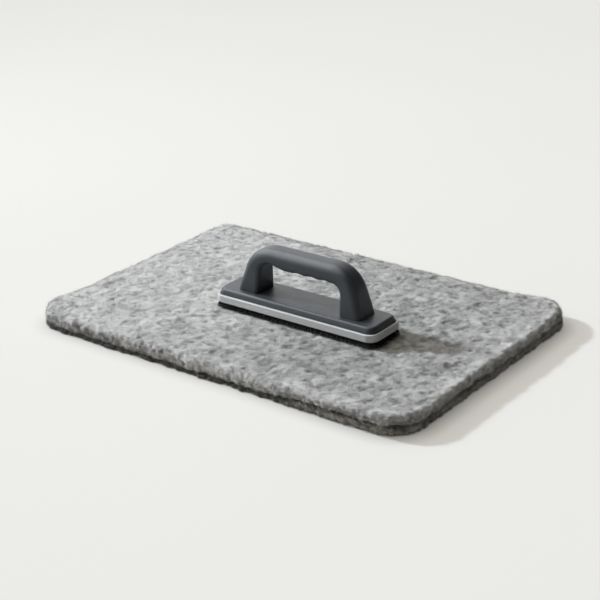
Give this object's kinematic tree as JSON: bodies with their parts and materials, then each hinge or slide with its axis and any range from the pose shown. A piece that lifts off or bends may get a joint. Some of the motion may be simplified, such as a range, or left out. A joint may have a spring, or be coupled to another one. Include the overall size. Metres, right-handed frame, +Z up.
{
  "type": "wool pressing mat with hand brush",
  "caption": "Thick two-ply wool felt pressing mat with rounded corners, and the short-bristled hand brush with a D handle that stands on it.",
  "frame": {"origin": "centre of the mat's underside", "axes": "+X along the mat's long side and along the brush, +Y across the mat away from the brush's near edge, +Z up"},
  "size_m": [0.457, 0.305, 0.0881],
  "materials": {
    "upper_felt": "fluffy mottled wool felt",
    "lower_felt": "fluffy wool felt",
    "web": "thin melted web",
    "bristle": "cut bristle tufts",
    "block": "fine matt",
    "trim": "satin silver",
    "body": "satin with a fine grain",
    "screw": "zinc plated"
  },
  "bodies": {
    "mat": {"bottom_felt": "lower_felt", "adhesive_web": "web", "top_felt": "upper_felt"},
    "brush": {"bristles": "bristle", "bristle_block": "block", "trim_band": "trim", "base": "body", "handle": "body", "handle_screw_1": "screw", "handle_screw_2": "screw", "handle_screw_3": "screw", "handle_screw_4": "screw", "block_screw_1": "screw", "block_screw_2": "screw", "block_screw_3": "screw", "block_screw_4": "screw", "block_screw_5": "screw", "block_screw_6": "screw"}
  },
  "joints": [
    {"name": "brush_lift", "type": "slide", "parent": "mat", "child": "brush", "axis": [0, 0, 1], "range_m": [0, 0.12]}
  ]
}
